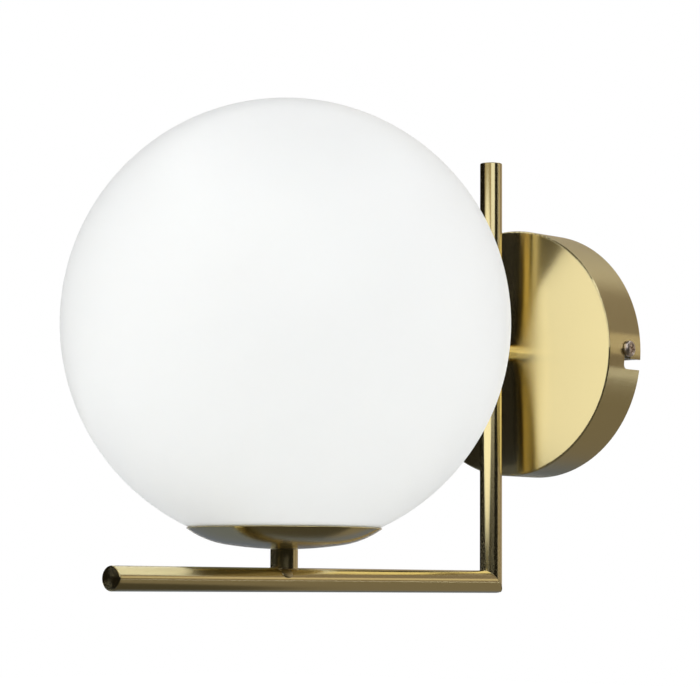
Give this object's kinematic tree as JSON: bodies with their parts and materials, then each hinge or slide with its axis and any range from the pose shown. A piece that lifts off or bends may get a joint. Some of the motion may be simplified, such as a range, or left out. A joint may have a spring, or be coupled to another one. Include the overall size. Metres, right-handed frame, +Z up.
{
  "type": "globe wall sconce",
  "caption": "Wall light: a satin brass arm on a round wall cup carries an opal glass globe over a shallow dish, with a screw lamp inside.",
  "frame": {"origin": "centre of the wall cup's open back, in the plane of the wall, which is also the middle of the bracket's two wall slots", "axes": "+Z up, +Y into the wall, so the light stands out towards -Y; +X to the right for someone who faces the wall"},
  "size_m": [0.2, 0.2933, 0.2191],
  "materials": {
    "satin_brass": "brushed satin, lacquered",
    "opal_glass": "satin opal",
    "zinc_steel": "zinc plated",
    "spring_steel": "spring steel",
    "brass_screws": "plated",
    "plain_brass": "turned",
    "block_plastic": "moulded",
    "holder_plastic": "moulded",
    "insert_ceramic": "glazed",
    "nickel": "nickel plated",
    "seal_rubber": "silicone",
    "lamp_plastic": "moulded",
    "lamp_dome_plastic": "opal",
    "lamp_insulator_black": "fused",
    "board_metal": "white solder mask",
    "chip_phosphor": "phosphor",
    "wire_brown": "insulation",
    "wire_blue": "insulation",
    "wire_earth": "insulation"
  },
  "bodies": {
    "bracket": {"wall_bracket": "zinc_steel", "side_screws": "brass_screws", "earth_screw": "zinc_steel", "earth_clamp": "zinc_steel"},
    "globe": {"glass_globe": "opal_glass", "glass_crown": "opal_glass", "glass_foot": "opal_glass"},
    "bulb": {"lamp_cap": "nickel", "lamp_insulator": "lamp_insulator_black", "lamp_tip": "nickel", "lamp_body": "lamp_plastic", "lamp_dome": "lamp_dome_plastic", "led_board": "board_metal", "led_chips": "chip_phosphor"},
    "lamp_frame": {"wall_cup": "satin_brass", "stem": "satin_brass", "terminal_strap": "zinc_steel", "stem_washer": "zinc_steel", "earth_tag": "plain_brass", "stem_lock_washer": "spring_steel", "stem_nut": "zinc_steel", "terminal_block": "block_plastic", "terminal_sleeves": "plain_brass", "clamp_screws": "zinc_steel", "block_screw": "zinc_steel", "earth_lead": "wire_earth", "live_wire": "wire_brown", "neutral_wire": "wire_blue", "upright_tube": "satin_brass", "upright_cap": "satin_brass", "arm_tube": "satin_brass", "arm_cap": "satin_brass", "neck": "satin_brass", "neck_nipple": "zinc_steel", "dish": "satin_brass", "globe_seal": "seal_rubber", "globe_clip": "spring_steel", "nipple_washer": "spring_steel", "nipple_nut": "zinc_steel", "holder_base": "holder_plastic", "holder_skirt": "holder_plastic", "holder_insert": "insert_ceramic", "holder_terminals": "plain_brass", "holder_sleeve": "nickel", "sleeve_carrier": "holder_plastic", "centre_contact": "plain_brass", "side_contact": "plain_brass"}
  },
  "joints": [
    {"name": "frame_turn", "type": "hinge", "parent": "bracket", "child": "lamp_frame", "pos_m": [0, 0, 0], "axis": [0, -1, 0], "range_deg": [0, 6.8]},
    {"name": "globe_lift", "type": "slide", "parent": "lamp_frame", "child": "globe", "axis": [0, 0, 1], "range_m": [0, 0.13]},
    {"name": "bulb_turn", "type": "hinge", "parent": "lamp_frame", "child": "bulb", "pos_m": [0, -0.1875, -0.05], "axis": [0, 0, 1], "continuous": true}
  ]
}
